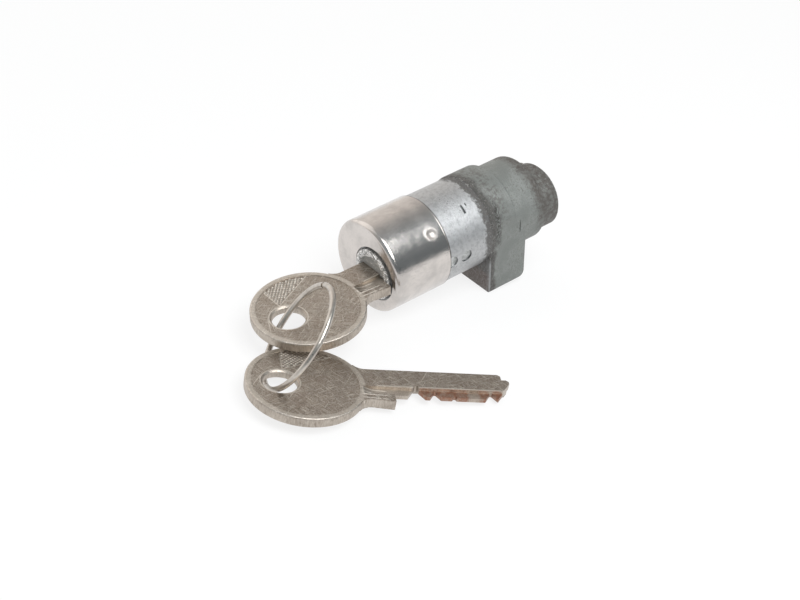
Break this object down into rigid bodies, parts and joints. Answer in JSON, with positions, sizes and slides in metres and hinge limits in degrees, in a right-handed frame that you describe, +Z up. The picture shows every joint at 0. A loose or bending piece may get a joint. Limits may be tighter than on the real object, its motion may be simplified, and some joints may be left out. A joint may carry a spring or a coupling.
{
  "type": "car door lock cylinder",
  "caption": "Car door lock cylinder with drawn front cap and cast zinc barrel and leg, its keyed rotor, a key in it and a spare key on a split wire ring.",
  "frame": {"origin": "on the barrel's axis, in the plane of the front cap's rear rim", "axes": "+X to the side that the tumbler chambers and the rotor's offset point to, +Y from the cap towards the rear boss, +Z up as the lock rests on its cap and leg"},
  "size_m": [0.0537, 0.0917, 0.0261],
  "materials": {
    "zinc_casting": "die-cast zinc, satin, greasy and dull on the block, brighter on the barrel",
    "cap_steel": "drawn and plated sheet, polished, lightly scratched",
    "rotor_zinc": "die-cast zinc, bright rim and grey pebbled dish",
    "pin_steel": "plain steel, dull",
    "tumbler_brass": "turned brass",
    "spring_steel": "spring wire",
    "key_nickel": "nickel silver, brushed, warm grey, worn",
    "ring_wire": "bright nickel-plated wire"
  },
  "bodies": {
    "lock": {"housing": "zinc_casting", "front_cap": "cap_steel", "retaining_pin": "pin_steel", "driver_pin_1": "tumbler_brass", "driver_pin_2": "tumbler_brass", "driver_pin_3": "tumbler_brass", "driver_pin_4": "tumbler_brass", "driver_pin_5": "tumbler_brass", "chamber_spring_1": "spring_steel", "chamber_spring_2": "spring_steel", "chamber_spring_3": "spring_steel", "chamber_spring_4": "spring_steel", "chamber_spring_5": "spring_steel", "chamber_plug_1": "tumbler_brass", "chamber_plug_2": "tumbler_brass", "chamber_plug_3": "tumbler_brass", "chamber_plug_4": "tumbler_brass", "chamber_plug_5": "tumbler_brass"},
    "rotor": {"rotor": "rotor_zinc", "key_pin_1": "tumbler_brass", "key_pin_2": "tumbler_brass", "key_pin_3": "tumbler_brass", "key_pin_4": "tumbler_brass", "key_pin_5": "tumbler_brass"},
    "key": {"key_in_lock": "key_nickel"},
    "ring": {"key_ring": "ring_wire"},
    "spare": {"spare_key": "key_nickel"}
  },
  "joints": [
    {"name": "plug_turn", "type": "hinge", "parent": "lock", "child": "rotor", "pos_m": [0.0027, 0.00003, -0.0002], "axis": [0, 0.9898, 0.1421], "range_deg": [-90, 90]},
    {"name": "key_withdraw", "type": "slide", "parent": "rotor", "child": "key", "axis": [0, -0.9898, -0.1421], "range_m": [0, 0.042], "deforming": ["key_pin_1", "key_pin_2", "key_pin_3", "key_pin_4", "key_pin_5"]},
    {"name": "ring_swing", "type": "hinge", "parent": "key", "child": "ring", "pos_m": [0.004, -0.03993, -0.00594], "axis": [0.0696, -0.6199, -0.7816], "range_deg": [-45, 0]},
    {"name": "spare_key_swing", "type": "hinge", "parent": "ring", "child": "spare", "pos_m": [0.01885, -0.05221, -0.00904], "axis": [0.7936, -0.0939, 0.6012], "range_deg": [-30, 0]}
  ]
}
